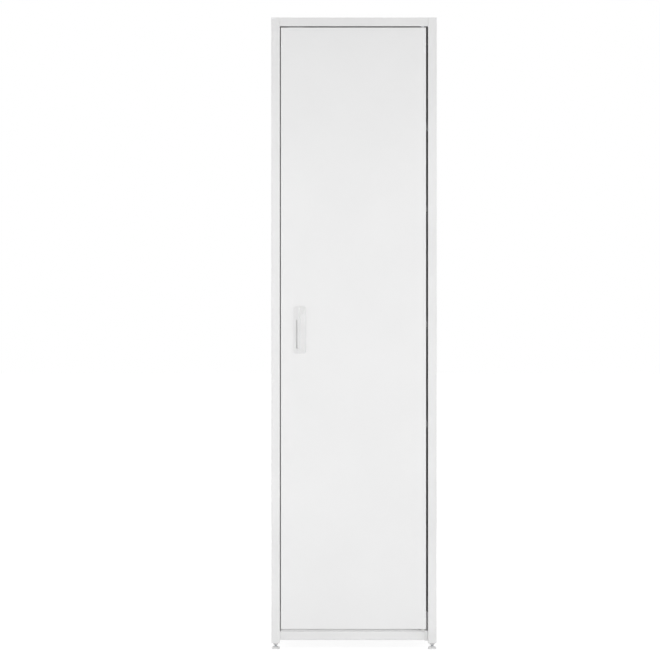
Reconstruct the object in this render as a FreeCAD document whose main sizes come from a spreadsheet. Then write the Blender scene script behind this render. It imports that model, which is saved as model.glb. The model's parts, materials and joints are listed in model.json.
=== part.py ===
import FreeCAD, Part
import math
import os
import Sketcher

# A tall steel cupboard: a frame of square tube, folded sheet panels, one pivoted door, four shelves on
# slotted uprights and four levelling feet. Millimetres, +Z up, the door at the front (-Y).

SIZES = {
    # Whole cupboard
    "overall_width": 500,
    "overall_depth": 500,
    "overall_height": 1910,
    # Frame of square tube
    "tube_side": 26,
    "tube_wall": 1.5,
    "tube_corner": 1.6,
    "post_lift": 18.4,
    "bottom_rail_lift": 27.7,
    "plinth_setback": 8,
    "plug_gap": 0.1,
    "plug_corner": 1.2,
    "cap_plate": 2,
    "cap_plug": 12,
    "wall_hole_diameter": 7,
    "wall_hole_from_post": 34,
    # Folded panels
    "panel_inset": 2,
    "panel_sheet": 1,
    "panel_flange": 12,
    "panel_bend": 2,
    "floor_height": 112,
    "floor_front_gap": 5,
    # Slotted uprights
    "upright_width": 25,
    "upright_sheet": 1.2,
    "lowest_slot": 122,
    "slot_pitch": 50,
    "top_slot_gap": 40,
    "slot_width": 16,
    "slot_height": 5,
    # Shelves and their clips
    "shelf_edge": 18,
    "shelf_sheet": 1,
    "shelf_bend": 1.6,
    "shelf_lip": 12,
    "shelf_side_gap": 1.5,
    "shelf_front_gap": 10,
    "shelf_rear_gap": 2,
    "clip_sheet": 2,
    "clip_width": 14,
    "clip_ledge": 12,
    "clip_back": 1,
    "clip_back_height": 12,
    "clip_hook": 6,
    "clip_hook_gap": 0.2,
    # Door
    "door_thickness": 20,
    "door_sheet": 1,
    "door_bend": 1.3,
    "door_gap_free": 2.8,
    "door_gap_hinge": 6,
    "door_gap_top": 4,
    "door_gap_bottom": 7.8,
    "inner_skin_flange": 4,
    "stiffener_width": 60,
    "stiffener_lip": 14,
    "stiffener_end_gap": 40,
    # Pivots
    "pivot_from_edge": 10,
    "pin_diameter": 8,
    "fit_clearance": 0.05,
    "running_gap": 0.2,
    "bush_wall": 1.9,
    "bush_length": 12,
    "bush_flange": 1,
    "bush_rim": 2,
    "collar_height": 1.2,
    "collar_diameter": 16,
    "nut_corner_diameter": 15,
    "nut_height": 6.5,
    "bracket_plate": 3,
    "bracket_sheet": 3,
    "bracket_side_gap": 1.4,
    "bracket_width": 46,
    "bracket_depth": 19,
    "bracket_leg_width": 9.5,
    "bracket_leg_height": 28.5,
    # Handle
    "handle_from_edge": 57.2,
    "handle_height_centre": 953,
    "handle_width": 37.2,
    "handle_below_pocket": 16,
    "handle_above_pocket": 41,
    "handle_corner": 7,
    "handle_plate": 3,
    "grip_width": 18.2,
    "grip_projection": 10,
    "grip_round": 2,
    "grip_crest": 4.5,
    "grip_top_slope": 24,
    "grip_bottom_slope": 16,
    "pocket_width": 11.5,
    "pocket_height": 86,
    "pocket_rise": 5,
    "lip_undercut": 1.2,
    "dish_depth": 5.2,
    "dish_wall": 1.8,
    "dish_gap": 0.3,
    "dish_corner": 3,
    # Magnetic catches
    "catch_from_edge": 45,
    "catch_width": 44,
    "catch_depth": 16,
    "upper_catch_height": 20,
    "lower_catch_height": 26,
    "catch_flange": 3,
    "catch_gap": 0.3,
    "magnet_width": 30,
    "magnet_height": 8,
    "magnet_depth": 10,
    "magnet_end_gap": 4,
    "strike_width": 38,
    "strike_height": 12,
    "strike_sheet": 1.5,
    "strike_corner": 2,
    # Levelling feet
    "base_diameter": 25,
    "base_height": 8.4,
    "base_rim": 5.5,
    "base_top_diameter": 14,
    "stem_diameter": 8,
    "stem_length": 43,
    "insert_collar_diameter": 18,
    "insert_collar_tip": 13.5,
    "insert_collar_height": 4.9,
    "insert_plug": 28,
}

# Heights of the four shelves, as shares of the row of slots
SHELF_SHARES = (0.33, 0.5, 0.7, 0.86)

# Places worked out from the sizes, as formulas of a second sheet
PLACES = {
    "half_width": "size.overall_width / 2",
    "front": "(size.grip_projection - size.overall_depth) / 2",
    "rear": "front + size.overall_depth",
    "inner_side": "half_width - size.tube_side",
    "inner_width": "2 * inner_side",
    "inner_depth": "size.overall_depth - 2 * size.tube_side",
    "middle": "(front + rear) / 2",
    "post_x": "half_width - size.tube_side / 2",
    "front_post": "front + size.tube_side / 2",
    "rear_post": "rear - size.tube_side / 2",
    "post_top": "size.overall_height - size.cap_plate",
    "wall_hole_x": "inner_side - size.wall_hole_from_post",
    "plug_side": "size.tube_side - 2 * size.tube_wall - 2 * size.plug_gap",
    "plinth_face": "front + size.plinth_setback",
    "bottom_rail_top": "size.bottom_rail_lift + size.tube_side",
    "top_rail_under": "size.overall_height - size.tube_side",
    "floor_front": "front + size.door_thickness + size.floor_front_gap",
    "floor_rear": "rear - size.tube_side",
    "panel_height": "top_rail_under - bottom_rail_top",
    "panel_middle": "(top_rail_under + bottom_rail_top) / 2",
    "upright_depth": "size.tube_side - size.panel_inset - size.panel_sheet",
    "upright_foot": "bottom_rail_top + size.panel_bend",
    "upright_height": "panel_height - 2 * size.panel_bend",
    "slot_count": "floor((top_rail_under - size.top_slot_gap - size.lowest_slot) / size.slot_pitch) + 1",
    "front_upright": "front + size.tube_side + size.panel_bend + size.upright_width / 2",
    "rear_upright": "rear - size.tube_side - size.panel_bend - size.upright_width / 2",
    "shelf_front": "front + size.door_thickness + size.shelf_front_gap",
    "shelf_rear": "rear - size.tube_side - size.shelf_rear_gap",
    "shelf_width": "inner_width - 2 * size.shelf_side_gap",
    "shelf_depth": "shelf_rear - shelf_front",
    "shelf_middle": "(shelf_front + shelf_rear) / 2",
    "door_left": "size.door_gap_free - inner_side",
    "door_right": "inner_side - size.door_gap_hinge",
    "door_width": "door_right - door_left",
    "door_x": "(door_left + door_right) / 2",
    "door_bottom": "bottom_rail_top + size.door_gap_bottom",
    "door_top": "top_rail_under - size.door_gap_top",
    "door_height": "door_top - door_bottom",
    "door_z": "(door_top + door_bottom) / 2",
    "door_back": "front + size.door_thickness",
    "pivot_x": "door_right - size.pivot_from_edge",
    "pivot_y": "front + size.door_thickness / 2",
    "pin_radius": "size.pin_diameter / 2",
    "pin_bore": "pin_radius + size.fit_clearance",
    "bush_radius": "pin_bore + size.bush_wall",
    "bush_seat": "bush_radius + size.fit_clearance",
    "spacer_height": "size.door_gap_bottom - size.bracket_plate - size.bush_flange - size.running_gap",
    "handle_x": "door_left + size.handle_from_edge",
    "handle_right": "size.handle_width / 2",
    "grip_left": "handle_right - size.grip_width",
    "pocket_left": "grip_left - size.pocket_width",
    "room_left": "pocket_left - size.lip_undercut",
    "room_depth": "size.dish_depth - size.dish_wall",
    "ramp_share": "room_depth / (room_depth + size.pocket_rise)",
    "ramp_foot": "room_left + (grip_left - room_left) * ramp_share",
    "crest_right": "grip_left + size.grip_crest",
    "flank_drop": "size.grip_projection - size.handle_plate",
    "flank_radius": "((handle_right - crest_right) ^ 2 + flank_drop ^ 2) / (2 * flank_drop)",
    "dish_left": "room_left - size.dish_wall",
    "dish_right": "ramp_foot + 2 * size.dish_wall",
    "dish_half_height": "size.pocket_height / 2 + size.dish_wall",
    "handle_bottom": "-size.pocket_height / 2 - size.handle_below_pocket",
    "handle_top": "size.pocket_height / 2 + size.handle_above_pocket",
    "catch_x": "door_left + size.catch_from_edge",
    "catch_face": "door_back + size.strike_sheet + size.catch_gap",
    "rail_behind_catch": "front + size.tube_side - catch_face",
    "catch_reach": "size.tube_side - size.panel_inset - size.panel_flange - size.panel_sheet",
    "magnet_from_end": "size.magnet_end_gap + size.magnet_height / 2",
    "upper_magnet": "top_rail_under - size.upper_catch_height + magnet_from_end",
    "lower_magnet": "size.floor_height + size.lower_catch_height - magnet_from_end",
    "stem_radius": "size.stem_diameter / 2",
    "stem_bore": "stem_radius + size.fit_clearance",
}

# Numbers that are no lengths of the cupboard
TOLERANCE = 1e-6
HEX_SIDE_COUNT = 6
FULL_TURN_ANGLE = 360
ORIGIN_GEOMETRY = -1
START_INDEX, END_INDEX, CENTRE_INDEX = 1, 2, 3
LOOKS_ALONG = {
    "XY_Plane": FreeCAD.Vector(0, 0, 1),
    "XZ_Plane": FreeCAD.Vector(0, -1, 0),
    "YZ_Plane": FreeCAD.Vector(1, 0, 0),
}
SIDES = (("left", "-"), ("right", ""))
ENDS = (("front", "place.front_post"), ("rear", "place.rear_post"))

doc = FreeCAD.newDocument("cupboard")
nodes = []


def fill_sheet(name, cells):
    """One named spreadsheet cell for each entry, its alias the entry's name."""
    sheet = doc.addObject("Spreadsheet::Sheet", name)
    for row, (alias, content) in enumerate(cells.items(), start=1):
        sheet.set(f"A{row}", alias)
        sheet.set(f"B{row}", str(content))
        sheet.setAlias(f"B{row}", alias)
    doc.recompute()
    return sheet


fill_sheet("size", SIZES)
place_sheet = fill_sheet("place", {name: "=" + formula for name, formula in PLACES.items()})


def value(text):
    """The number that an expression of the two sheets stands for."""
    return float(place_sheet.evalExpression(text))


def bind(item, **expressions):
    """Tie properties of a document object to expressions; a double underscore stands for a dot."""
    for name, text in expressions.items():
        item.setExpression(name.replace("__", "."), text)


def set_down(item, x="0", y="0", z="0"):
    """Put a sub-part at its place in the cupboard."""
    bind(item, Placement__Base__x=x, Placement__Base__y=y, Placement__Base__z=z)
    return item


def named(item, label):
    """Give a document object the name of its node."""
    item.Label = label
    nodes.append(item)
    return item


def new_body(label, node=True):
    """An empty body, which is a node of its own unless it goes into a group."""
    body = doc.addObject("PartDesign::Body", label)
    if node:
        named(body, label)
    return body


def group(label, members):
    """Identical small pieces as one node of separate solids."""
    compound = doc.addObject("Part::Compound", label)
    compound.Links = members
    return named(compound, label)


def sketch_on(body, role):
    """A sketch on one of the body's own origin planes."""
    sketch = body.newObject("Sketcher::SketchObject", "Sketch")
    plane = next(item for item in body.Origin.OriginFeatures if item.Role == role)
    sketch.AttachmentSupport = [(plane, "")]
    sketch.MapMode = "FlatFace"
    return sketch


def hold(sketch, kind, geometry, point, text):
    """Hold one coordinate of a sketch point at an expression, measured from the sketch's origin."""
    rule = Sketcher.Constraint(kind, ORIGIN_GEOMETRY, START_INDEX, geometry, point, value(text))
    sketch.setExpression(f"Constraints[{sketch.addConstraint(rule)}]", text)


def hold_point(sketch, geometry, point, across, up):
    """Hold both coordinates of a sketch point."""
    hold(sketch, "DistanceX", geometry, point, across)
    hold(sketch, "DistanceY", geometry, point, up)


def hold_radius(sketch, geometry, text):
    """Hold the radius of an arc or circle of a sketch."""
    rule = Sketcher.Constraint("Radius", geometry, value(text))
    sketch.setExpression(f"Constraints[{sketch.addConstraint(rule)}]", text)


def outline(sketch, points):
    """A closed outline of straight lines through points given as pairs of expressions."""
    corners = [FreeCAD.Vector(value(across), value(up)) for across, up in points]
    first = sketch.GeometryCount
    count = len(points)
    for index in range(count):
        sketch.addGeometry(Part.LineSegment(corners[index], corners[(index + 1) % count]))
    for index in range(count):
        follower = first + (index + 1) % count
        join = Sketcher.Constraint("Coincident", first + index, END_INDEX, follower, START_INDEX)
        sketch.addConstraint(join)
    for index, (across, up) in enumerate(points):
        hold_point(sketch, first + index, START_INDEX, across, up)


def rectangle(sketch, left, bottom, right, top):
    """A rectangle between two corners."""
    outline(sketch, [(left, bottom), (right, bottom), (right, top), (left, top)])


def circle(sketch, across, up, radius):
    """A circle about a point."""
    centre = FreeCAD.Vector(value(across), value(up))
    index = sketch.addGeometry(Part.Circle(centre, LOOKS_ALONG["XY_Plane"], value(radius)))
    hold_point(sketch, index, CENTRE_INDEX, across, up)
    hold_radius(sketch, index, radius)


def rounded_rectangle(sketch, left, bottom, right, top, corner):
    """A rectangle whose four corners are tangent arcs."""
    x0, y0, x1, y1, r = (value(text) for text in (left, bottom, right, top, corner))
    point = FreeCAD.Vector
    runs = (
        (point(x0 + r, y0), point(x1 - r, y0)),
        (point(x1, y0 + r), point(x1, y1 - r)),
        (point(x1 - r, y1), point(x0 + r, y1)),
        (point(x0, y1 - r), point(x0, y0 + r)),
    )
    centres = (point(x1 - r, y0 + r), point(x1 - r, y1 - r), point(x0 + r, y1 - r), point(x0 + r, y0 + r))
    first = sketch.GeometryCount
    for turn, ((start, end), centre) in enumerate(zip(runs, centres)):
        sketch.addGeometry(Part.LineSegment(start, end))
        following = runs[(turn + 1) % len(runs)][0]
        outward = (end + following - centre - centre).normalize()
        sketch.addGeometry(Part.Arc(end, centre + outward * r, following))
    count = 2 * len(runs)
    for index in range(0, count, 2):
        line = first + index
        arc = line + 1
        follower = first + (index + 2) % count
        sketch.addConstraint(Sketcher.Constraint("Tangent", line, END_INDEX, arc, START_INDEX))
        sketch.addConstraint(Sketcher.Constraint("Tangent", arc, END_INDEX, follower, START_INDEX))
        level = "Horizontal" if index % 4 == 0 else "Vertical"
        sketch.addConstraint(Sketcher.Constraint(level, line))
        if index:
            sketch.addConstraint(Sketcher.Constraint("Equal", first + 1, arc))
    hold_radius(sketch, first + 1, corner)
    bottom_line, right_line, top_line, left_line = range(first, first + count, 2)
    hold(sketch, "DistanceY", bottom_line, START_INDEX, bottom)
    hold(sketch, "DistanceX", right_line, START_INDEX, right)
    hold(sketch, "DistanceY", top_line, START_INDEX, top)
    hold(sketch, "DistanceX", left_line, START_INDEX, left)


def pad(body, sketch, length, away=False, both=False):
    """Raise a sketch; away turns it against the plane's normal, both centres it on the plane."""
    feature = body.newObject("PartDesign::Pad", "Pad")
    feature.Profile = sketch
    feature.SideType = "Symmetric" if both else "One side"
    feature.Reversed = away
    bind(feature, Length=length)
    return feature


def pocket(body, sketch, length=None, away=False, both=False):
    """Cut a sketch against its plane's normal; without a length the cut goes through all."""
    feature = body.newObject("PartDesign::Pocket", "Pocket")
    feature.Profile = sketch
    feature.SideType = "Symmetric" if both else "One side"
    feature.Reversed = away
    if length is None:
        feature.Type = "ThroughAll"
    else:
        bind(feature, Length=length)
    return feature


def revolve(body, role, points):
    """Turn a closed outline about the upright axis of its plane."""
    sketch = sketch_on(body, role)
    outline(sketch, points)
    feature = body.newObject("PartDesign::Revolution", "Revolution")
    feature.Profile = sketch
    feature.ReferenceAxis = (sketch, ["V_Axis"])
    feature.Angle = FULL_TURN_ANGLE
    return feature


def holes(body, role, places, radius, away=False, both=False):
    """Round holes through all, at places given as pairs of expressions."""
    sketch = sketch_on(body, role)
    for across, up in places:
        circle(sketch, across, up, radius)
    return pocket(body, sketch, away=away, both=both)


def far_face(feature, direction):
    """Name of the flat face that looks along a direction and lies farthest along it."""
    looking = [
        (face.CenterOfMass.dot(direction), f"Face{index}")
        for index, face in enumerate(feature.Shape.Faces, start=1)
        if face.normalAt(0, 0).isEqual(direction, TOLERANCE)
    ]
    return max(looking)[1]


def rim_of(feature, face_name):
    """Names of the edges round a face."""
    rim = feature.Shape.getElement(face_name).Edges
    return [
        f"Edge{index}"
        for index, edge in enumerate(feature.Shape.Edges, start=1)
        if any(edge.isSame(other) for other in rim)
    ]


def round_rim(body, feature, direction, radius):
    """Round the edges of the face that lies farthest along a direction."""
    doc.recompute()
    fillet = body.newObject("PartDesign::Fillet", "Fillet")
    fillet.Base = (feature, rim_of(feature, far_face(feature, direction)))
    bind(fillet, Radius=radius)
    return fillet


def pan(label, role, across, up, depth, sheet, bend, away=False):
    """A folded sheet pan: closed face on the plane with rounded bends, flanges all round."""
    body = new_body(label)
    sketch = sketch_on(body, role)
    rectangle(sketch, f"-({across}) / 2", f"-({up}) / 2", f"({across}) / 2", f"({up}) / 2")
    block = pad(body, sketch, depth, away=away)
    inward = LOOKS_ALONG[role] * (-1 if away else 1)
    bends = round_rim(body, block, -inward, bend)
    doc.recompute()
    shell = body.newObject("PartDesign::Thickness", "Thickness")
    shell.Base = (bends, [far_face(bends, inward)])
    shell.Reversed = True
    bind(shell, Value=sheet)
    return body


# Frame: four posts with capped tops, four top rails and four bottom rails
def tube(label, role, length, both=True):
    """Square tube with rounded corners; rails are centred on their middle, posts stand on their foot."""
    body = new_body(label)
    sketch = sketch_on(body, role)
    outer = "size.tube_side / 2"
    inner = "(size.tube_side / 2 - size.tube_wall)"
    rounded_rectangle(sketch, f"-{outer}", f"-{outer}", outer, outer, "size.tube_corner")
    rectangle(sketch, f"-{inner}", f"-{inner}", inner, inner)
    pad(body, sketch, length, both=both)
    return body


def square_plug(body, length, away):
    """Moulded plug with cut corners that fills the end of a post."""
    sketch = sketch_on(body, "XY_Plane")
    half = "place.plug_side / 2"
    cut = "(place.plug_side / 2 - size.plug_corner)"
    outline(sketch, [
        (f"-{cut}", f"-{half}"), (cut, f"-{half}"), (half, f"-{cut}"), (half, cut),
        (cut, half), (f"-{cut}", half), (f"-{half}", cut), (f"-{half}", f"-{cut}"),
    ])
    return pad(body, sketch, length, away=away)


def post_cap():
    """Moulded cap: a plate over the tube's end and a plug inside it."""
    body = new_body("cap", node=False)
    sketch = sketch_on(body, "XY_Plane")
    half = "size.tube_side / 2"
    rounded_rectangle(sketch, f"-{half}", f"-{half}", half, half, "size.tube_corner")
    pad(body, sketch, "size.cap_plate")
    square_plug(body, "size.cap_plug", away=True)
    return body


caps = []
for end, y in ENDS:
    for side, sign in SIDES:
        post = tube(f"post_{end}_{side}", "XY_Plane", "place.post_top - size.post_lift", both=False)
        set_down(post, f"{sign}place.post_x", y, "size.post_lift")
        caps.append(set_down(post_cap(), f"{sign}place.post_x", y, "place.post_top"))
group("post_caps", caps)

LEVELS = (
    ("top", "size.overall_height - size.tube_side / 2"),
    ("bottom", "size.bottom_rail_lift + size.tube_side / 2"),
)
rails = {}
for level, z in LEVELS:
    for side, sign in SIDES:
        rail = tube(f"{level}_rail_{side}", "XZ_Plane", "place.inner_depth")
        rails[level, side] = set_down(rail, f"{sign}place.post_x", "place.middle", z)
    for end, y in ENDS:
        rail = tube(f"{level}_rail_{end}", "YZ_Plane", "place.inner_width")
        if (level, end) == ("bottom", "front"):
            y = f"{y} + size.plinth_setback"
        rails[level, end] = set_down(rail, "0", y, z)

wall_holes = [(f"{sign}place.wall_hole_x", "0") for side, sign in SIDES]
holes(rails["top", "rear"], "XZ_Plane", wall_holes, "size.wall_hole_diameter / 2", both=True)


# Folded panels, each set a little inside the faces of the tubes round it
def frame_panel(label, role, across, up, away=False):
    """Pan of panel sheet between the tubes of the frame."""
    return pan(label, role, across, up, "size.panel_flange", "size.panel_sheet", "size.panel_bend", away)


for side, sign in SIDES:
    panel = frame_panel(f"side_panel_{side}", "YZ_Plane", "place.inner_depth", "place.panel_height",
                        away=side == "right")
    set_down(panel, f"{sign}(place.half_width - size.panel_inset)", "place.middle", "place.panel_middle")

back_panel = frame_panel("back_panel", "XZ_Plane", "place.inner_width", "place.panel_height")
set_down(back_panel, "0", "place.rear - size.panel_inset", "place.panel_middle")

top_panel = frame_panel("top_panel", "XY_Plane", "place.inner_width", "place.inner_depth", away=True)
set_down(top_panel, "0", "place.middle", "size.overall_height - size.panel_inset")

# The floor stands on the plinth rail with deep flanges; the front one is a sill behind the door
floor_flange = "size.floor_height - place.bottom_rail_top"
floor_tray = pan("floor_tray", "XY_Plane", "place.inner_width", "place.floor_rear - place.floor_front",
                 floor_flange, "size.panel_sheet", "size.panel_bend", away=True)
set_down(floor_tray, "0", "(place.floor_front + place.floor_rear) / 2", "size.floor_height")


# Slotted uprights: channels behind the posts, their slotted webs level with the posts' inner faces
def upright(label, out):
    """Channel whose web looks into the cupboard; out is the sign of the outward direction."""
    body = new_body(label)
    channel = sketch_on(body, "XY_Plane")
    half = "size.upright_width / 2"
    inner = "(size.upright_width / 2 - size.upright_sheet)"
    web = f"{out}size.upright_sheet"
    reach = f"{out}place.upright_depth"
    outline(channel, [
        ("0", f"-{half}"), (reach, f"-{half}"), (reach, f"-{inner}"), (web, f"-{inner}"),
        (web, inner), (reach, inner), (reach, half), ("0", half),
    ])
    pad(body, channel, "place.upright_height")
    slot = sketch_on(body, "YZ_Plane")
    low = "(size.lowest_slot - place.upright_foot)"
    rectangle(slot, "-size.slot_width / 2", low, "size.slot_width / 2", f"{low} + size.slot_height")
    cut = pocket(body, slot, away=out == "")
    doc.recompute()
    row = body.newObject("PartDesign::LinearPattern", "Slots")
    row.Originals = [cut]
    row.Direction = (slot, ["V_Axis"])
    bind(row, Length="(place.slot_count - 1) * size.slot_pitch", Occurrences="place.slot_count")
    body.Tip = row
    return body


UPRIGHTS = (("front", "place.front_upright"), ("rear", "place.rear_upright"))
for end, y in UPRIGHTS:
    for side, sign in SIDES:
        set_down(upright(f"upright_{end}_{side}", sign), f"{sign}place.inner_side", y, "place.upright_foot")


# Shelves: pans with turned-in lips, each on four clips hooked into the uprights
def shelf(label):
    """Shelf pan open below, with a lip turned in along the lower edge of its flanges."""
    body = pan(label, "XY_Plane", "place.shelf_width", "place.shelf_depth", "size.shelf_edge",
               "size.shelf_sheet", "size.shelf_bend", away=True)
    lip = sketch_on(body, "XY_Plane")
    bind(lip, AttachmentOffset__Base__z="-size.shelf_edge")
    for margin in ("0", "size.shelf_lip"):
        across = f"(place.shelf_width / 2 - {margin})"
        up = f"(place.shelf_depth / 2 - {margin})"
        rectangle(lip, f"-{across}", f"-{up}", across, up)
    pad(body, lip, "size.shelf_sheet")
    return body


def shelf_clip(out):
    """Bent clip: ledge under the shelf, back against the web, tongue through the slot and a hook behind."""
    body = new_body("clip", node=False)
    profile = sketch_on(body, "XZ_Plane")
    ledge = f"-({out}size.clip_ledge)"
    back = f"-({out}size.clip_back)"
    behind = f"{out}(size.upright_sheet + size.clip_hook_gap)"
    far = f"{out}(size.upright_sheet + size.clip_hook_gap + size.clip_sheet)"
    high = "size.clip_sheet"
    outline(profile, [
        (ledge, "0"), (behind, "0"), (behind, "-size.clip_hook"), (far, "-size.clip_hook"), (far, high),
        ("0", high), ("0", "size.clip_back_height"), (back, "size.clip_back_height"), (back, high),
        (ledge, high),
    ])
    pad(body, profile, "size.clip_width", both=True)
    return body


for number, share in enumerate(SHELF_SHARES, start=1):
    slot_floor = f"(size.lowest_slot + round({share} * (place.slot_count - 1)) * size.slot_pitch)"
    shelf_top = f"{slot_floor} + size.clip_sheet + size.shelf_edge"
    set_down(shelf(f"shelf_{number}"), "0", "place.shelf_middle", shelf_top)
    clips = []
    for end, y in UPRIGHTS:
        for side, sign in SIDES:
            clips.append(set_down(shelf_clip(sign), f"{sign}place.inner_side", y, slot_floor))
    group(f"shelf_{number}_clips", clips)


# Door: an outer and an inner skin, nested as two pans, with a hat-section stiffener between them
outer_skin = pan("door_outer_skin", "XZ_Plane", "place.door_width", "place.door_height",
                 "size.door_thickness", "size.door_sheet", "size.door_bend", away=True)
set_down(outer_skin, "place.door_x", "place.front", "place.door_z")
bush_place = ("place.pivot_x - place.door_x", "size.door_thickness / 2")
holes(outer_skin, "XY_Plane", [bush_place], "place.bush_seat", both=True)
handle_cut = sketch_on(outer_skin, "XZ_Plane")
handle_across = "(place.handle_x - place.door_x)"
handle_up = "(size.handle_height_centre - place.door_z)"
rounded_rectangle(
    handle_cut,
    f"{handle_across} + place.dish_left - size.dish_gap",
    f"{handle_up} - place.dish_half_height - size.dish_gap",
    f"{handle_across} + place.dish_right + size.dish_gap",
    f"{handle_up} + place.dish_half_height + size.dish_gap",
    "size.dish_corner + size.dish_gap",
)
pocket(outer_skin, handle_cut)

inner_width = "(place.door_width - 2 * size.door_sheet)"
inner_height = "(place.door_height - 2 * size.door_sheet)"
inner_skin = pan("door_inner_skin", "XZ_Plane", inner_width, inner_height, "size.inner_skin_flange",
                 "size.door_sheet", "size.door_bend")
set_down(inner_skin, "place.door_x", "place.door_back", "place.door_z")


def door_stiffener():
    """Hat section: its crown on the outer skin, its lips on the inner skin."""
    body = new_body("door_stiffener")
    hat = sketch_on(body, "XY_Plane")
    crown = "size.stiffener_width / 2"
    wall = "(size.stiffener_width / 2 - size.door_sheet)"
    brim = "(size.stiffener_width / 2 + size.stiffener_lip)"
    deep = "(size.door_thickness - 2 * size.door_sheet)"
    under_lip = f"({deep} - size.door_sheet)"
    outline(hat, [
        (f"-{crown}", "0"), (crown, "0"), (crown, under_lip), (brim, under_lip), (brim, deep),
        (wall, deep), (wall, "size.door_sheet"), (f"-{wall}", "size.door_sheet"), (f"-{wall}", deep),
        (f"-{brim}", deep), (f"-{brim}", under_lip), (f"-{crown}", under_lip),
    ])
    pad(body, hat, "place.door_height - 2 * size.stiffener_end_gap", both=True)
    return body


set_down(door_stiffener(), "place.door_x", "place.front + size.door_sheet", "place.door_z")


# Pivots: a stud through the top rail, and a pin on a bracket at the right end of the plinth rail
def pivot_bush(label, turn):
    """Flanged moulded bush; its flange lies outside the door, turn is the sign of the way in."""
    body = new_body(label)
    rim = "(place.bush_radius + size.bush_rim)"
    outside = f"{'' if turn == '-' else '-'}size.bush_flange"
    revolve(body, "XZ_Plane", [
        ("place.pin_bore", outside), (rim, outside), (rim, "0"), ("place.bush_radius", "0"),
        ("place.bush_radius", f"{turn}size.bush_length"), ("place.pin_bore", f"{turn}size.bush_length"),
    ])
    return body


set_down(pivot_bush("top_pivot_bush", "-"), "place.pivot_x", "place.pivot_y", "place.door_top")
set_down(pivot_bush("bottom_pivot_bush", ""), "place.pivot_x", "place.pivot_y", "place.door_bottom")

top_pin = new_body("top_pivot_pin")
pin_tip = "-(size.door_gap_top + size.bush_length)"
stud_top = "(size.tube_wall + size.nut_height)"
revolve(top_pin, "XZ_Plane", [
    ("0", pin_tip), ("place.pin_radius", pin_tip), ("place.pin_radius", "-size.collar_height"),
    ("size.collar_diameter / 2", "-size.collar_height"), ("size.collar_diameter / 2", "0"),
    ("place.pin_radius", "0"), ("place.pin_radius", stud_top), ("0", stud_top),
])
set_down(top_pin, "place.pivot_x", "place.pivot_y", "place.top_rail_under")
pin_in_rail = ("place.pivot_x", "place.pivot_y - place.front_post")
holes(rails["top", "front"], "XY_Plane", [pin_in_rail], "place.pin_bore")

nut_block = doc.addObject("Part::Prism", "nut_block")
nut_block.Polygon = HEX_SIDE_COUNT
bind(nut_block, Circumradius="size.nut_corner_diameter / 2", Height="size.nut_height")
nut_bore = doc.addObject("Part::Cylinder", "nut_bore")
bind(nut_bore, Radius="place.pin_bore", Height="size.nut_height")
nut = named(doc.addObject("Part::Cut", "top_pivot_nut"), "top_pivot_nut")
nut.Base = nut_block
nut.Tool = nut_bore
set_down(nut, "place.pivot_x", "place.pivot_y", "place.top_rail_under + size.tube_wall")

bracket = new_body("bottom_pivot_bracket")
bracket_right = "(place.inner_side - size.bracket_side_gap - place.pivot_x)"
bracket_plan = sketch_on(bracket, "XY_Plane")
rectangle(bracket_plan, f"{bracket_right} - size.bracket_width", "-size.bracket_sheet", bracket_right,
          "size.bracket_depth - size.bracket_sheet")
pad(bracket, bracket_plan, "size.bracket_plate")
bracket_leg = sketch_on(bracket, "XZ_Plane")
rectangle(bracket_leg, f"{bracket_right} - size.bracket_leg_width", "-size.bracket_leg_height",
          bracket_right, "size.bracket_plate")
pad(bracket, bracket_leg, "size.bracket_sheet")
pin_in_bracket = ("0", "place.pivot_y - place.plinth_face")
holes(bracket, "XY_Plane", [pin_in_bracket], "place.pin_bore", away=True)
set_down(bracket, "place.pivot_x", "place.plinth_face", "place.bottom_rail_top")

bottom_pin = new_body("bottom_pivot_pin")
pin_length = "(size.door_gap_bottom + size.bush_length)"
revolve(bottom_pin, "XZ_Plane", [
    ("0", "0"), ("place.pin_radius", "0"), ("place.pin_radius", pin_length), ("0", pin_length),
])
set_down(bottom_pin, "place.pivot_x", "place.pivot_y", "place.bottom_rail_top")

spacer = new_body("bottom_pivot_spacer")
revolve(spacer, "XZ_Plane", [
    ("place.pin_bore", "0"), ("size.collar_diameter / 2", "0"),
    ("size.collar_diameter / 2", "place.spacer_height"), ("place.pin_bore", "place.spacer_height"),
])
set_down(spacer, "place.pivot_x", "place.pivot_y", "place.bottom_rail_top + size.bracket_plate")


# Handle: a moulding with a ridge, and beside it a finger pocket whose ramp runs down behind the left lip
def handle_outline(sketch):
    """Front outline of the handle."""
    rounded_rectangle(sketch, "-place.handle_right", "place.handle_bottom", "place.handle_right",
                      "place.handle_top", "size.handle_corner")


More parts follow.
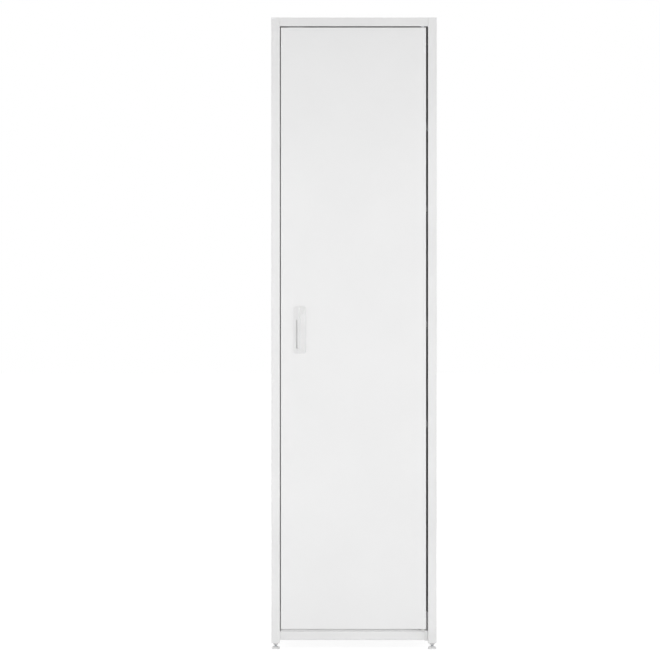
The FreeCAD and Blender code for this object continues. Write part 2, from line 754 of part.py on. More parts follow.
def grip_section(sketch):
    """Section of the ridge: ramp of the pocket, rounded crest and a flank that falls away in one arc."""
    foot, left, crest = (value(f"place.{name}") for name in ("ramp_foot", "grip_left", "crest_right"))
    right, flank = (value(f"place.{name}") for name in ("handle_right", "flank_radius"))
    high, low, bend = (value(f"size.{name}") for name in ("grip_projection", "handle_plate", "grip_round"))
    rise = value("size.pocket_rise")
    point = FreeCAD.Vector
    bend_circle = Part.Circle(point(left + bend, bend - high), LOOKS_ALONG["XY_Plane"], bend)
    flank_circle = Part.Circle(point(crest, flank - high), LOOKS_ALONG["XY_Plane"], flank)
    flank_end = math.atan2(high - low - flank, right - crest)
    ramp, inner, crest_bend, top, fall, side, base = sketch.addGeometry([
        Part.LineSegment(point(foot, 0), point(left, -rise)),
        Part.LineSegment(point(left, -rise), point(left, bend - high)),
        Part.ArcOfCircle(bend_circle, math.pi, math.pi * 3 / 2),
        Part.LineSegment(point(left + bend, -high), point(crest, -high)),
        Part.ArcOfCircle(flank_circle, -math.pi / 2, flank_end),
        Part.LineSegment(point(right, -low), point(right, 0)),
        Part.LineSegment(point(right, 0), point(foot, 0)),
    ])
    joins = (("Tangent", inner, crest_bend), ("Tangent", crest_bend, top), ("Tangent", top, fall),
             ("Coincident", fall, side), ("Coincident", side, base), ("Coincident", base, ramp),
             ("Coincident", ramp, inner))
    for kind, before, after in joins:
        sketch.addConstraint(Sketcher.Constraint(kind, before, END_INDEX, after, START_INDEX))
    sketch.addConstraint(Sketcher.Constraint("Vertical", inner))
    sketch.addConstraint(Sketcher.Constraint("Horizontal", top))
    hold_radius(sketch, crest_bend, "size.grip_round")
    hold_point(sketch, ramp, START_INDEX, "place.ramp_foot", "0")
    hold_point(sketch, inner, START_INDEX, "place.grip_left", "-size.pocket_rise")
    hold_point(sketch, top, END_INDEX, "place.crest_right", "-size.grip_projection")
    hold_point(sketch, fall, END_INDEX, "place.handle_right", "-size.handle_plate")
    hold_point(sketch, side, END_INDEX, "place.handle_right", "0")


handle = new_body("handle")
set_down(handle, "place.handle_x", "place.front", "size.handle_height_centre")
plate = sketch_on(handle, "XZ_Plane")
handle_outline(plate)
pad(handle, plate, "size.handle_plate")
grip = sketch_on(handle, "XY_Plane")
bind(grip, AttachmentOffset__Base__z="place.handle_bottom")
grip_section(grip)
pad(handle, grip, "place.handle_top - place.handle_bottom")
grip_ends = sketch_on(handle, "YZ_Plane")
for end, start_of_slope in (("place.handle_top", "place.handle_top - size.grip_top_slope"),
                            ("place.handle_bottom", "place.handle_bottom + size.grip_bottom_slope")):
    outline(grip_ends, [("-size.handle_plate", end), ("-size.grip_projection", end),
                        ("-size.grip_projection", start_of_slope)])
pocket(handle, grip_ends, both=True)
grip_corners = sketch_on(handle, "XZ_Plane")
handle_outline(grip_corners)
rectangle(grip_corners, "-place.handle_right - size.handle_corner",
          "place.handle_bottom - size.handle_corner", "place.handle_right + size.handle_corner",
          "place.handle_top + size.handle_corner")
pocket(handle, grip_corners, both=True)
dish = sketch_on(handle, "XZ_Plane")
rounded_rectangle(dish, "place.dish_left", "-place.dish_half_height", "place.dish_right",
                  "place.dish_half_height", "size.dish_corner")
pad(handle, dish, "size.dish_depth", away=True)
finger_room = sketch_on(handle, "XY_Plane")
outline(finger_room, [
    ("place.pocket_left", "-size.grip_projection"), ("place.grip_left", "-size.grip_projection"),
    ("place.grip_left", "-size.pocket_rise"), ("place.room_left", "place.room_depth"),
    ("place.room_left", "0"), ("place.pocket_left", "0"),
])
pocket(handle, finger_room, "size.pocket_height", both=True)


# Magnetic catches near the door's free edge, one under the top rail and one on the floor
def catch_housing(label, profile_points, seat, magnet_height):
    """Moulded housing of one side profile, with a pocket for its magnet in the face."""
    body = new_body(label)
    profile = sketch_on(body, "YZ_Plane")
    outline(profile, profile_points)
    pad(body, profile, "size.catch_width", both=True)
    hollow = sketch_on(body, "XZ_Plane")
    middle = f"({magnet_height} - {seat})"
    rectangle(hollow, "-size.magnet_width / 2", f"{middle} - size.magnet_height / 2",
              "size.magnet_width / 2", f"{middle} + size.magnet_height / 2")
    pocket(body, hollow, "size.magnet_depth")
    return set_down(body, "place.catch_x", "place.catch_face", seat)


def catch_magnet(label, height):
    """Block magnet that fills the housing's pocket, level with its face."""
    body = new_body(label)
    face = sketch_on(body, "XZ_Plane")
    rectangle(face, "-size.magnet_width / 2", "-size.magnet_height / 2", "size.magnet_width / 2",
              "size.magnet_height / 2")
    pad(body, face, "size.magnet_depth", away=True)
    set_down(body, "place.catch_x", "place.catch_face", height)


def strike_plate(label, height):
    """Steel plate on the door's back that meets the magnet."""
    body = new_body(label)
    face = sketch_on(body, "XZ_Plane")
    rounded_rectangle(face, "-size.strike_width / 2", "-size.strike_height / 2", "size.strike_width / 2",
                      "size.strike_height / 2", "size.strike_corner")
    pad(body, face, "size.strike_sheet", away=True)
    set_down(body, "place.catch_x", "place.door_back", height)


behind_rail = "place.rail_behind_catch"
flange_back = f"({behind_rail} + size.catch_flange)"
catch_housing("upper_catch_housing", [
    ("0", "-size.upper_catch_height"), ("size.catch_depth", "-size.upper_catch_height"),
    ("size.catch_depth", "0"), (flange_back, "0"), (flange_back, "place.catch_reach"),
    (behind_rail, "place.catch_reach"), (behind_rail, "0"), ("0", "0"),
], "place.top_rail_under", "place.upper_magnet")
flange_tip = "(size.catch_depth + place.catch_reach)"
catch_housing("lower_catch_housing", [
    ("0", "0"), (flange_tip, "0"), (flange_tip, "size.catch_flange"),
    ("size.catch_depth", "size.catch_flange"), ("size.catch_depth", "size.lower_catch_height"),
    ("0", "size.lower_catch_height"),
], "size.floor_height", "place.lower_magnet")
for level in ("upper", "lower"):
    catch_magnet(f"{level}_catch_magnet", f"place.{level}_magnet")
    strike_plate(f"{level}_strike_plate", f"place.{level}_magnet")


# Levelling feet: an insert in each post, a stem screwed into it and a moulded base on the floor
def foot_insert():
    """Insert: square plug in the post, tapered collar under it, bore for the stem."""
    body = new_body("insert", node=False)
    square_plug(body, "size.insert_plug", away=False)
    revolve(body, "XZ_Plane", [
        ("0", "0"), ("size.insert_collar_diameter / 2", "0"),
        ("size.insert_collar_tip / 2", "-size.insert_collar_height"), ("0", "-size.insert_collar_height"),
    ])
    holes(body, "XY_Plane", [("0", "0")], "place.stem_bore", both=True)
    return body


def foot_base(label):
    """Moulded base: a straight rim and a cone up to the stem."""
    body = new_body(label)
    revolve(body, "XZ_Plane", [
        ("0", "0"), ("size.base_diameter / 2", "0"), ("size.base_diameter / 2", "size.base_rim"),
        ("size.base_top_diameter / 2", "size.base_height"), ("0", "size.base_height"),
    ])
    return body


def foot_stem(label):
    """Stem that stands on its base and reaches up through the insert."""
    body = new_body(label)
    profile = sketch_on(body, "XY_Plane")
    circle(profile, "0", "0", "place.stem_radius")
    pad(body, profile, "size.stem_length")
    return body


inserts = []
for end, y in ENDS:
    for side, sign in SIDES:
        x = f"{sign}place.post_x"
        inserts.append(set_down(foot_insert(), x, y, "size.post_lift"))
        set_down(foot_stem(f"foot_stem_{end}_{side}"), x, y, "size.base_height")
        set_down(foot_base(f"foot_base_{end}_{side}"), x, y)
group("foot_inserts", inserts)

# Every object has to be sound, and every cut has to have taken something away, before anything is written
doc.recompute()
for item in doc.Objects:
    if "Invalid" in item.State or "Error" in item.State:
        raise RuntimeError(f"{item.Label} failed: {item.State}")
    if item.TypeId == "PartDesign::Pocket":
        taken = item.BaseFeature.Shape.Volume - item.Shape.Volume
        if taken < TOLERANCE:
            raise RuntimeError(f"{item.Label} cuts nothing")
for item in nodes:
    if item.Shape.isNull() or not item.Shape.isValid():
        raise RuntimeError(f"{item.Label} has no sound shape")

os.makedirs("parts", exist_ok=True)
for item in nodes:
    item.Shape.exportStep(f"parts/{item.Label}.step")
    print(item.Label, len(item.Shape.Solids), round(item.Shape.Volume))
print(len(nodes), "nodes")
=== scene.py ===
# %% [markdown]
# # A tall steel cupboard, dressed for the camera
# The solids come from the CAD model: a welded frame of square tube, folded sheet panels, one pivoted door
# with a moulded handle, four shelves and four levelling feet. This script gives them their finishes, adds
# the small screws and threads that the solids leave out, and sets the light and the camera.

import json
import math

import bmesh
import bpy
from mathutils import Matrix, Vector


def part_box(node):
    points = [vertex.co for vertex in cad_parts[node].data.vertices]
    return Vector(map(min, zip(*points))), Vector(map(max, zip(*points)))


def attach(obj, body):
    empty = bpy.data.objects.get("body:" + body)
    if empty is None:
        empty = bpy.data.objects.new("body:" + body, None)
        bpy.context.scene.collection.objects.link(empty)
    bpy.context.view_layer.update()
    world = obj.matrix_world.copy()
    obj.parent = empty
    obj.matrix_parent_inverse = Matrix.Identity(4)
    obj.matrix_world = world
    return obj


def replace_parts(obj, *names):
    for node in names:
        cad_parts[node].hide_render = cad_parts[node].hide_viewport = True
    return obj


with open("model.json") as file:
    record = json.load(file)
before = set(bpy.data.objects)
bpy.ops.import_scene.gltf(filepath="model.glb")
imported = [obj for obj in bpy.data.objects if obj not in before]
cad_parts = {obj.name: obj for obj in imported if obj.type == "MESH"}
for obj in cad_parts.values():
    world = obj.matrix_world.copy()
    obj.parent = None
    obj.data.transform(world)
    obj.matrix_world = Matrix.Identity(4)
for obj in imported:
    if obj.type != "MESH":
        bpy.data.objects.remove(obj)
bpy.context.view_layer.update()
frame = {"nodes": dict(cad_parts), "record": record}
MM = 0.001

# %% [markdown]
# ## Colours and nodes
# Colours are written as sRGB hex values, the way a paint chart gives them. Blender's shaders want linear
# light, so one function turns them. A second one adds a shader node with its settings and its links, which
# keeps each finish short enough to read at a glance.

# %% Colour and node helpers
def linear(code):
    """sRGB hex to the linear colour that a shader socket takes."""
    channels = [int(code[start:start + 2], 16) / 255 for start in (0, 2, 4)]
    return [c / 12.92 if c <= 0.04045 else ((c + 0.055) / 1.055) ** 2.4 for c in channels] + [1.0]


def add(tree, kind, links=(), **settings):
    """One shader node; a setting is an attribute or an input, a link is a pair of output and input."""
    node = tree.nodes.new("ShaderNode" + kind)
    for name, value in settings.items():
        if hasattr(node, name):
            setattr(node, name, value)
        else:
            node.inputs[name.replace("_", " ")].default_value = value
    for source, target in links:
        tree.links.new(source, node.inputs[target])
    return node


def finish_of(name):
    """An empty node material with its Principled shader."""
    material = bpy.data.materials.new(name)
    material.use_nodes = True
    return material, material.node_tree, material.node_tree.nodes["Principled BSDF"]


def grain(size_mm):
    """Scale of a noise texture, in object metres, for features of a real size."""
    return 1 / (size_mm * MM)


print("white in linear light:", [round(c, 3) for c in linear("FFFFFF")])

# %% [markdown]
# ## Powder coat
# Frame, panels and door are mild steel with a polyester powder coat, sprayed dry and baked at about 180
# degrees. The melted powder levels out to a satin skin with a faint orange peel of about 1 mm. That is
# smaller than a pixel here, so it is drawn at 6 mm, as coarse as it needs to be to show in a close view.
# A much larger, very weak cloud in the tone stands for the uneven thickness of the coat.

# %% Satin white powder coat
COAT_CLOUD_MM = 260
COAT_CLOUD_SPAN = (0.35, 0.65)
ORANGE_PEEL_MM = 6
ORANGE_PEEL_STRENGTH = 0.12
ORANGE_PEEL_DEPTH = 0.2 * MM
COAT_GLOSS_SPREAD = 0.05
POLYESTER_IOR = 1.5


def powder_coat(name, thick, thin, roughness):
    """Baked polyester powder on steel: satin, white, with orange peel."""
    material, tree, shader = finish_of(name)
    place = add(tree, "TexCoord").outputs["Object"]
    cloud = add(tree, "TexNoise", [(place, "Vector")], Scale=grain(COAT_CLOUD_MM), Detail=3.0)
    tone = add(tree, "ValToRGB", [(cloud.outputs["Fac"], "Fac")])
    for stop, position, colour in zip(tone.color_ramp.elements, COAT_CLOUD_SPAN, (thin, thick)):
        stop.position, stop.color = position, linear(colour)
    peel = add(tree, "TexNoise", [(place, "Vector")], Scale=grain(ORANGE_PEEL_MM), Detail=2.0)
    bump = add(tree, "Bump", [(peel.outputs["Fac"], "Height")], Strength=ORANGE_PEEL_STRENGTH,
               Distance=ORANGE_PEEL_DEPTH)
    gloss = add(tree, "MapRange", [(peel.outputs["Fac"], "Value")],
                To_Min=roughness - COAT_GLOSS_SPREAD, To_Max=roughness + COAT_GLOSS_SPREAD)
    tree.links.new(tone.outputs["Color"], shader.inputs["Base Color"])
    tree.links.new(gloss.outputs["Result"], shader.inputs["Roughness"])
    tree.links.new(bump.outputs["Normal"], shader.inputs["Normal"])
    shader.inputs["IOR"].default_value = POLYESTER_IOR
    return material


finishes = {
    "frame_coat": powder_coat("powder_coated_tube", "F0F0F0", "EBEBEB", 0.42),
    "panel_coat": powder_coat("powder_coated_panel", "F0F0F0", "ECECEC", 0.42),
    # The door's copy of the white coat is a shade lighter than the frame's: painted light, for the door
    # catching more of the lamps than the frame.
    "door_coat": powder_coat("powder_coated_door_painted_light", "F2F2F2", "F0F0F0", 0.40),
    # The bracket's copy of the white coat is greyer than the frame's: painted shade, for the bracket
    # standing in the shadow under the door.
    "bracket_coat": powder_coat("powder_coated_bracket_painted_shade", "E6E6E6", "E1E1E1", 0.45),
}
print("powder coats:", sorted(finishes))

# %% [markdown]
# ## Moulded plastics
# The handle is ABS from a spark-eroded mould, which leaves a fine matt grain, and so are the catches. Feet
# and plugs are polyamide, rougher, the feet white and the plugs grey. The caps in the post tops are
# polyethylene, nearly white. The pivot bushes are natural acetal, smoother and faintly yellow. One function
# serves all, because only tone, grain size and roughness tell them apart. The grain is drawn at 1 to
# 1.5 mm, coarser than the real one, so that it shows in a close view.

# %% Moulded plastics
PLASTIC_CLOUD_MM = 40
PLASTIC_CLOUD_SPAN = (0.3, 0.7)
MOULD_GRAIN_STRENGTH = 0.15
MOULD_GRAIN_DEPTH = 0.1 * MM
PLASTIC_GLOSS_SPREAD = 0.06
ABS_IOR = POLYAMIDE_IOR = PVC_IOR = 1.53
POLYETHYLENE_IOR = 1.51
ACETAL_IOR = 1.48


def moulded(name, pale, deep, grain_mm, roughness, ior):
    """Injection-moulded plastic: eroded grain in the surface and a slight cloud in the tone."""
    material, tree, shader = finish_of(name)
    place = add(tree, "TexCoord").outputs["Object"]
    cloud = add(tree, "TexNoise", [(place, "Vector")], Scale=grain(PLASTIC_CLOUD_MM), Detail=4.0)
    tone = add(tree, "ValToRGB", [(cloud.outputs["Fac"], "Fac")])
    for stop, position, colour in zip(tone.color_ramp.elements, PLASTIC_CLOUD_SPAN, (deep, pale)):
        stop.position, stop.color = position, linear(colour)
    pits = add(tree, "TexVoronoi", [(place, "Vector")], Scale=grain(grain_mm))
    bump = add(tree, "Bump", [(pits.outputs["Distance"], "Height")], Strength=MOULD_GRAIN_STRENGTH,
               Distance=MOULD_GRAIN_DEPTH)
    gloss = add(tree, "MapRange", [(pits.outputs["Distance"], "Value")],
                To_Min=roughness - PLASTIC_GLOSS_SPREAD, To_Max=roughness + PLASTIC_GLOSS_SPREAD)
    tree.links.new(tone.outputs["Color"], shader.inputs["Base Color"])
    tree.links.new(gloss.outputs["Result"], shader.inputs["Roughness"])
    tree.links.new(bump.outputs["Normal"], shader.inputs["Normal"])
    shader.inputs["IOR"].default_value = ior
    return material


finishes["handle_plastic"] = moulded("moulded_abs_handle", "EBEBEB", "E7E7E7", 1.2, 0.3, ABS_IOR)
finishes["foot_plastic"] = moulded("moulded_polyamide_foot", "EFEFEF", "EAEAEA", 1.5, 0.55, POLYAMIDE_IOR)
finishes["plug_plastic"] = moulded("moulded_polyamide_plug", "D6D6D6", "CECECE", 1.5, 0.5, POLYAMIDE_IOR)
finishes["cap_plastic"] = moulded("moulded_polyethylene_cap", "EDEDED", "E8E8E8", 1.5, 0.45,
                                  POLYETHYLENE_IOR)
finishes["catch_plastic"] = moulded("moulded_abs_catch", "EDEDED", "E7E7E7", 1.0, 0.4, ABS_IOR)
finishes["bush_plastic"] = moulded("moulded_acetal_bush", "D2D2D0", "CACAC7", 1.0, 0.35, ACETAL_IOR)
print("plastics:", [name for name in finishes if name.endswith("plastic")])

# %% [markdown]
# ## Bare metal and magnet
# Stems, screws, clips, pins and strike plates are steel with bright zinc plate: metallic, slightly blue,
# its shine broken up by small crystals. The catch magnets are pressed ferrite, dark grey and dull.

# %% Zinc plate and ferrite
ZINC_CRYSTAL_MM = 2.5
ZINC_ROUGHNESS = (0.26, 0.42)
FERRITE_SAND_MM = 1.2
FERRITE_SAND_STRENGTH = 0.3
FERRITE_SAND_DEPTH = 0.1 * MM
FERRITE_ROUGHNESS = 0.7


def zinc_plate(name):
    """Electroplated zinc on steel: bright, with small crystals that vary the shine."""
    material, tree, shader = finish_of(name)
    place = add(tree, "TexCoord").outputs["Object"]
    crystals = add(tree, "TexVoronoi", [(place, "Vector")], Scale=grain(ZINC_CRYSTAL_MM))
    tone = add(tree, "ValToRGB", [(crystals.outputs["Distance"], "Fac")])
    tone.color_ramp.elements[0].color = linear("C9CBCE")
    tone.color_ramp.elements[1].color = linear("B4B7BB")
    gloss = add(tree, "MapRange", [(crystals.outputs["Distance"], "Value")], To_Min=ZINC_ROUGHNESS[0],
                To_Max=ZINC_ROUGHNESS[1])
    tree.links.new(tone.outputs["Color"], shader.inputs["Base Color"])
    tree.links.new(gloss.outputs["Result"], shader.inputs["Roughness"])
    shader.inputs["Metallic"].default_value = 1.0
    return material


def pressed_ferrite(name):
    """Pressed and fired ferrite: dark grey, dull, with a sandy grain."""
    material, tree, shader = finish_of(name)
    place = add(tree, "TexCoord").outputs["Object"]
    sand = add(tree, "TexNoise", [(place, "Vector")], Scale=grain(FERRITE_SAND_MM), Detail=5.0)
    tone = add(tree, "ValToRGB", [(sand.outputs["Fac"], "Fac")])
    tone.color_ramp.elements[0].color = linear("2A2B2D")
    tone.color_ramp.elements[1].color = linear("45474A")
    bump = add(tree, "Bump", [(sand.outputs["Fac"], "Height")], Strength=FERRITE_SAND_STRENGTH,
               Distance=FERRITE_SAND_DEPTH)
    tree.links.new(tone.outputs["Color"], shader.inputs["Base Color"])
    tree.links.new(bump.outputs["Normal"], shader.inputs["Normal"])
    shader.inputs["Roughness"].default_value = FERRITE_ROUGHNESS
    return material


finishes["zinc_steel"] = zinc_plate("bright_zinc_plate")
finishes["magnet_ferrite"] = pressed_ferrite("pressed_ferrite")
print("finishes:", len(finishes))

# %% [markdown]
# ## Dress the solids
# The record says which finish each solid takes, so a loop is enough: it clears the grey stand-in that came
# with the frame and puts the finish in its place. The caps in the post tops share a slot with the grey
# inserts of the feet, but they are moulded in the white of the frame, so they get a finish of their own.

# %% Give every solid its finish
OWN_FINISH = {"post_caps": "cap_plastic"}

for part in frame["record"]["subparts"]:
    slots = frame["nodes"][part["node"]].data.materials
    slots.clear()
    slots.append(finishes[OWN_FINISH.get(part["node"], part["material_slot"])])

# %% [markdown]
# ## Threaded stems
# Each foot is screwed into its post by an M8 stem. The solid is a plain cylinder. The thread is a height
# field on that cylinder: going round once climbs one pitch, and the radius swings between crest and root.
# Built on a grid of rows and columns it is one clean mesh, with no boolean, and its crests stay inside the
# solid's own radius.

# %% Threaded stems of the feet
THREAD_PITCH = 1.25 * MM
THREAD_DEPTH = 0.65 * MM
ROWS_PER_TURN = 4
COLUMNS = 24


def piece_from(mesh, name, body, slot, finish=None):
    """Turn a bmesh into a piece that rides on a body and takes the finish of a slot, or one of its own."""
    data = bpy.data.meshes.new(name)
    mesh.to_mesh(data)
    mesh.free()
    piece = bpy.data.objects.new(name, data)
    bpy.context.scene.collection.objects.link(piece)
    data.materials.append(finishes[finish or slot])
    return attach(piece, body)


def threaded_stem(corner):
    """A stem with a real helical thread, where the solid's plain cylinder is."""
    low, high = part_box(f"foot_stem_{corner}")
    middle = (low + high) / 2
    radius = (high.x - low.x) / 2
    rows = round((high.z - low.z) / THREAD_PITCH * ROWS_PER_TURN)
    mesh = bmesh.new()
    rings = []
    for row in range(rows + 1):
        height = low.z + (high.z - low.z) * row / rows
        ring = []
        for column in range(COLUMNS):
            turn = column / COLUMNS
            phase = (height / THREAD_PITCH - turn) % 1
            reach = radius - THREAD_DEPTH * abs(2 * phase - 1)
            angle = turn * math.tau
            ring.append(mesh.verts.new((middle.x + reach * math.cos(angle),
                                        middle.y + reach * math.sin(angle), height)))
        rings.append(ring)
    for below, above in zip(rings, rings[1:]):
        for column in range(COLUMNS):
            after = (column + 1) % COLUMNS
            mesh.faces.new((below[column], below[after], above[after], above[column]))
    mesh.faces.new(rings[0][::-1])
    mesh.faces.new(rings[-1])
    stem = piece_from(mesh, f"threaded_stem_{corner}", f"foot_{corner}", "zinc_steel")
    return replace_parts(stem, f"foot_stem_{corner}")


corners = [name[len("foot_stem_"):] for name in frame["nodes"] if name.startswith("foot_stem_")]
stems = [threaded_stem(corner) for corner in corners]
print("stems:", [stem.name for stem in stems])

# %% [markdown]
# ## Screws
# The two magnetic catches are held by pan-head screws. A head is a low dome, spun from its profile, and a
# boolean takes the cross recess out of it, as the heading punch does. One mesh serves all screws, and each
# copy is turned to the face that it sits on.

# %% Pan-head screws
HEAD_RADIUS = 3.5 * MM
HEAD_HEIGHT = 2.4 * MM
RECESS_ARM = 2.1 * MM
RECESS_WIDTH = 0.9 * MM
RECESS_DEPTH = 1.4 * MM
RECESS_TAPER = 0.45
HEAD_SEGMENTS = 32
RIM_SHARE = 0.35
FLAT_TOP_SHARE = 0.55
SHOULDER_STEPS = 6
MERGE_SHARE = 1e-3


def dome(mesh):
    """Pan head: upright rim, rounded shoulder and a nearly flat top, spun about Z."""
    profile = [(HEAD_RADIUS, 0.0), (HEAD_RADIUS, HEAD_HEIGHT * RIM_SHARE)]
    for step in range(1, SHOULDER_STEPS + 1):
        angle = math.pi / 2 * step / SHOULDER_STEPS
        profile.append((HEAD_RADIUS * (FLAT_TOP_SHARE + (1 - FLAT_TOP_SHARE) * math.cos(angle)),
                        HEAD_HEIGHT * (RIM_SHARE + (1 - RIM_SHARE) * math.sin(angle))))
    points = [mesh.verts.new((radius, 0, height)) for radius, height in profile]
    edges = [mesh.edges.new(pair) for pair in zip(points, points[1:])]
    bmesh.ops.spin(mesh, geom=points + edges, axis=(0, 0, 1), cent=(0, 0, 0), angle=math.tau,
                   steps=HEAD_SEGMENTS, use_merge=True)
    bmesh.ops.remove_doubles(mesh, verts=mesh.verts, dist=HEAD_RADIUS * MERGE_SHARE)
    bmesh.ops.holes_fill(mesh, edges=mesh.edges)
    bmesh.ops.recalc_face_normals(mesh, faces=mesh.faces)


def recess(mesh):
    """The cross of the recess: two bars that narrow towards the bottom."""
    for turn in (0, math.pi / 2):
        bar = bmesh.ops.create_cube(mesh, size=1.0)["verts"]
        for vert in bar:
            taper = 1.0 if vert.co.z > 0 else RECESS_TAPER
            vert.co = Vector((vert.co.x * 2 * RECESS_ARM * taper, vert.co.y * RECESS_WIDTH * taper,
                              HEAD_HEIGHT - RECESS_DEPTH + (vert.co.z + 0.5) * 2 * RECESS_DEPTH))
        bmesh.ops.rotate(mesh, verts=bar, cent=(0, 0, 0), matrix=Matrix.Rotation(turn, 3, "Z"))


def cut_head():
    """One head with its recess taken out, as a mesh that all screws share."""
    solids = []
    for build in (dome, recess):
        mesh = bmesh.new()
        build(mesh)
        data = bpy.data.meshes.new(build.__name__)
        mesh.to_mesh(data)
        mesh.free()
        solids.append(bpy.data.objects.new(build.__name__, data))
        bpy.context.scene.collection.objects.link(solids[-1])
    head, tool = solids
    boolean = head.modifiers.new("recess", "BOOLEAN")
    boolean.operation = "DIFFERENCE"
    boolean.object = tool
    boolean.use_self = True
    bpy.context.view_layer.update()
    result = bpy.data.meshes.new_from_object(head.evaluated_get(bpy.context.evaluated_depsgraph_get()))
    for solid in solids:
        bpy.data.objects.remove(solid)
    result.name = "pan_head"
    result.materials.clear()
    result.materials.append(finishes["zinc_steel"])
    return result


pan_head = cut_head()


def screw(name, seat, facing, body, turn):
    """A screw head on its seat, looking along facing, its recess at a turn of its own."""
    piece = bpy.data.objects.new(name, pan_head)
    bpy.context.scene.collection.objects.link(piece)
    aim = Vector(facing).to_track_quat("Z", "Y").to_matrix().to_4x4()
    piece.matrix_world = Matrix.Translation(seat) @ aim @ Matrix.Rotation(turn, 4, "Z")
    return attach(piece, body)


print("screw head:", len(pan_head.polygons), "faces")

# %% [markdown]
# The screws sit where a fitter would put them: two in the flange of each catch, either side of its middle.
# All places come from the solids' boxes.

# %% Set the screws
CATCH_SCREW_SPACING = 28 * MM
CATCH_FLANGE = 3 * MM
CATCH_DEPTH = 16 * MM
UPPER_SCREW_TURN = 0.9
LOWER_SCREW_TURN = 1.3

rail_low, rail_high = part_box("top_rail_front")
upper_low, upper_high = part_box("upper_catch_housing")
lower_low, lower_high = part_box("lower_catch_housing")
for number, sign in enumerate((-1, 1)):
    across = (upper_low.x + upper_high.x) / 2 + sign * CATCH_SCREW_SPACING / 2
    upper_seat = Vector((across, rail_high.y + CATCH_FLANGE, (rail_low.z + upper_high.z) / 2))
    screw(f"upper_catch_screw_{number}", upper_seat, (0, 1, 0), "carcass", UPPER_SCREW_TURN * number)
    lower_seat = Vector((across, (lower_low.y + CATCH_DEPTH + lower_high.y) / 2,
                         lower_low.z + CATCH_FLANGE))
    screw(f"lower_catch_screw_{number}", lower_seat, (0, 0, 1), "carcass", LOWER_SCREW_TURN * number)

# %% [markdown]
# ## Dust strip
# In the photograph a pale band fills the lower part of the gap under the door. It is drawn here as a strip
# of extruded PVC, glued along the top of the plinth rail to narrow the gap, and cut lower where it passes
# over the pivot bracket. One section is swept along the rail: a block with its two upper edges rounded, as
# an extrusion has them. PVC from a polished die is smooth and half matt.

# %% Strip on the plinth rail
STRIP_DOOR_GAP = 1.8 * MM
STRIP_DEPTH = 12 * MM
STRIP_ROUNDING = 0.8 * MM
STRIP_SETBACK = 1.6 * MM
STRIP_END_GAP = 2 * MM
STRIP_CUT_GAP = 0.2 * MM
ROUNDING_STEPS = 5

finishes["strip_plastic"] = moulded("extruded_pvc_strip", "E8E8E8", "E3E3E3", 1.5, 0.5, PVC_IOR)


def dust_strip(name, left, right, seat):
    """A length of the strip that lies on a seat and ends just under the door."""
    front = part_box("bottom_rail_front")[0].y + STRIP_SETBACK
    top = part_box("door_outer_skin")[0].z - STRIP_DOOR_GAP
    back = front + STRIP_DEPTH
    section = [(front, seat)]
    for middle, turn in ((front + STRIP_ROUNDING, math.pi), (back - STRIP_ROUNDING, math.pi / 2)):
        for step in range(ROUNDING_STEPS + 1):
            angle = turn - math.pi / 2 * step / ROUNDING_STEPS
            section.append((middle + STRIP_ROUNDING * math.cos(angle),
                            top - STRIP_ROUNDING + STRIP_ROUNDING * math.sin(angle)))
    section.append((back, seat))
    mesh = bmesh.new()
    ends = [[mesh.verts.new((across, y, z)) for y, z in section] for across in (left, right)]
    for point in range(len(section)):
        after = (point + 1) % len(section)
        mesh.faces.new((ends[0][point], ends[0][after], ends[1][after], ends[1][point]))
    for end in ends:
        mesh.faces.new(end)
    bmesh.ops.recalc_face_normals(mesh, faces=mesh.faces)
    return piece_from(mesh, name, "carcass", "plug_plastic", "strip_plastic")


plinth_low, plinth_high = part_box("bottom_rail_front")
bracket_low, bracket_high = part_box("bottom_pivot_bracket")
spacer_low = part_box("bottom_pivot_spacer")[0]
strips = [
    dust_strip("dust_strip", plinth_low.x + STRIP_END_GAP, bracket_low.x - STRIP_CUT_GAP, plinth_high.z),
    dust_strip("dust_strip_end", bracket_low.x + STRIP_CUT_GAP, spacer_low.x - STRIP_END_GAP,
               bracket_high.z),
]
print("dust strip in mm:", [round(strip.dimensions.x / MM, 1) for strip in strips])

# %% [markdown]
# ## Floor and white surroundings
# The cupboard stands on a plain pale floor in a white studio. For the camera, and for anything that
# mirrors, the world is plain white. For the light that falls on the cupboard it is a softer grey, so that
# the white coat keeps its tone. The floor sends pale light up at the cupboard. For the camera it is a
# darker grey that glows a little, so that it comes out just white, keeps a faint shadow and doesn't wash
# over the edges of the posts.

# %% Floor and world
FLOOR_SIZE = 80.0
WORLD_LIGHT = 0.39
WORLD_SHOWN = 1.0
FLOOR_LIFT = 0.92
FLOOR_ROUGHNESS = 0.9


def seen_directly(tree):
    """1 for the rays that show the surroundings themselves: to the camera, in a shine or through glass."""
    rays = add(tree, "LightPath")
    shown = add(tree, "Math", [(rays.outputs["Is Camera Ray"], 0), (rays.outputs["Is Glossy Ray"], 1)],
                operation="MAXIMUM")
    shown = add(tree, "Math", [(shown.outputs["Value"], 0), (rays.outputs["Is Transmission Ray"], 1)],
                operation="MAXIMUM")
    return shown.outputs["Value"]


floor_mesh = bmesh.new()
bmesh.ops.create_grid(floor_mesh, x_segments=1, y_segments=1, size=FLOOR_SIZE / 2)
floor_data = bpy.data.meshes.new("floor")
floor_mesh.to_mesh(floor_data)
floor_mesh.free()
floor = bpy.data.objects.new("floor", floor_data)
bpy.context.scene.collection.objects.link(floor)

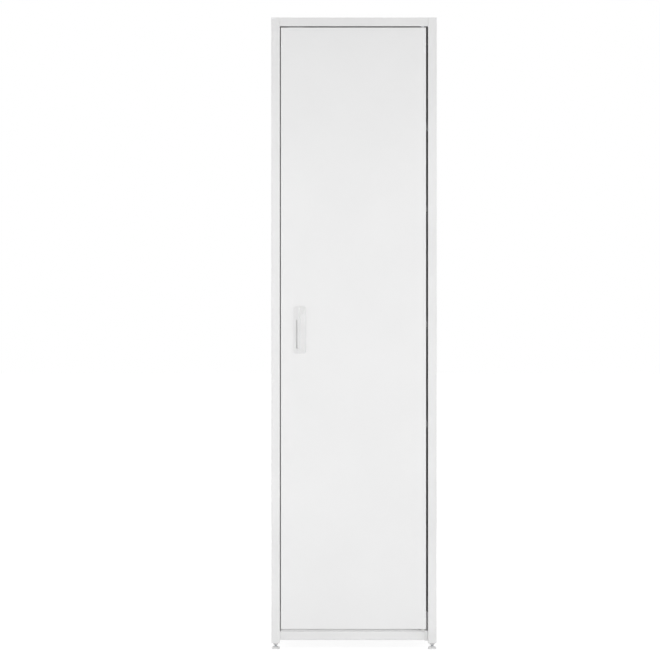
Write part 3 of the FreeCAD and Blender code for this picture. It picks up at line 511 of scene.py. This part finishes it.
floor_finish, floor_tree, floor_shader = finish_of("matt_white_floor")
floor_seen = seen_directly(floor_tree)
floor_tone = add(floor_tree, "MixRGB", [(floor_seen, "Fac")], Color1=linear("F2F2F2"),
                 Color2=linear("7C7C7C"))
floor_tree.links.new(floor_tone.outputs["Color"], floor_shader.inputs["Base Color"])
floor_shader.inputs["Roughness"].default_value = FLOOR_ROUGHNESS
floor_shader.inputs["Emission Color"].default_value = linear("FFFFFF")
floor_lift = add(floor_tree, "Math", [(floor_seen, 0)], operation="MULTIPLY")
floor_lift.inputs[1].default_value = FLOOR_LIFT
floor_tree.links.new(floor_lift.outputs["Value"], floor_shader.inputs["Emission Strength"])
floor_data.materials.append(floor_finish)

world = bpy.data.worlds.new("white_studio")
bpy.context.scene.world = world
world.use_nodes = True
sky = world.node_tree
sky.nodes.clear()
soft = add(sky, "Background", Color=linear("FFFFFF"), Strength=WORLD_LIGHT)
white = add(sky, "Background", Color=linear("FFFFFF"), Strength=WORLD_SHOWN)
blend = add(sky, "MixShader", [(seen_directly(sky), 0), (soft.outputs["Background"], 1),
                               (white.outputs["Background"], 2)])
add(sky, "OutputWorld", [(blend.outputs["Shader"], "Surface")])
print("floor:", FLOOR_SIZE, "m, world light:", WORLD_LIGHT)

# %% [markdown]
# ## Lamps
# The photograph is lit with large soft sources: the door is brightest at mid height and falls off towards
# the top and a little towards the bottom, the narrow gaps round it stay dark, and the gap over the plinth
# is light. Two softboxes close in front of the door, one on each side of the line of sight, give the first
# two, because neither looks straight into a gap. A low one lights the plinth, and those at the sides,
# behind and above shape the cupboard for the other views.

# %% Softboxes
def softbox(name, place, target, width, height, watts):
    """A rectangular area lamp at a place, turned to a target."""
    lamp = bpy.data.lights.new(name, "AREA")
    lamp.shape = "RECTANGLE"
    lamp.size, lamp.size_y, lamp.energy = width, height, watts
    holder = bpy.data.objects.new(name, lamp)
    holder.location = place
    holder.rotation_euler = (Vector(target) - Vector(place)).to_track_quat("-Z", "Y").to_euler()
    holder.visible_camera = False
    bpy.context.scene.collection.objects.link(holder)


# Place, target, width and height in metres, then watts.
SOFTBOXES = {
    "front_left_softbox": ((-0.9, -1.85, 1.45), (0, -0.25, 1.25), 0.9, 1.0, 5.6),
    "front_right_softbox": ((0.9, -1.85, 1.58), (0, -0.25, 1.4), 0.9, 1.0, 5.8),
    "low_softbox": ((0, -2.4, 0.1), (0, -0.25, 0.06), 2.4, 0.18, 8.5),
    "left_softbox": ((-3.6, -1.6, 1.2), (0, 0, 0.9), 1.6, 2.2, 20),
    "right_softbox": ((3.6, -1.6, 1.2), (0, 0, 0.9), 1.6, 2.2, 20),
    "rear_softbox": ((0, 3.8, 1.5), (0, 0, 0.9), 2.4, 1.8, 44),
    "top_softbox": ((0, 0, 4.6), (0, 0, 1.9), 2.0, 2.0, 20),
}

for name, settings in SOFTBOXES.items():
    softbox(name, *settings)

# %% [markdown]
# ## Camera
# The photograph looks straight at the front from far away, so uprights stay upright. The picture is square
# and 1.9946 m of the front plane fill its width. From that width and the distance follows the lens. The
# cupboard stands a little right of the middle, which the camera's own place gives without any shift.

# %% Camera
CAMERA_DISTANCE = 6.5
VIEW_WIDTH = 1.9946
SENSOR = 36.0
CAMERA_LEFT = -72.5 * MM
CAMERA_HEIGHT = 965.6 * MM

front_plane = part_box("post_front_left")[0].y
lens = bpy.data.cameras.new("camera")
lens.sensor_width = SENSOR
lens.lens = SENSOR * CAMERA_DISTANCE / VIEW_WIDTH
camera = bpy.data.objects.new("camera", lens)
camera.location = (CAMERA_LEFT, front_plane - CAMERA_DISTANCE, CAMERA_HEIGHT)
camera.rotation_euler = (math.pi / 2, 0, 0)
bpy.context.scene.collection.objects.link(camera)
bpy.context.scene.camera = camera
bpy.context.scene.view_settings.view_transform = "Standard"
print("lens in mm:", round(lens.lens, 1))
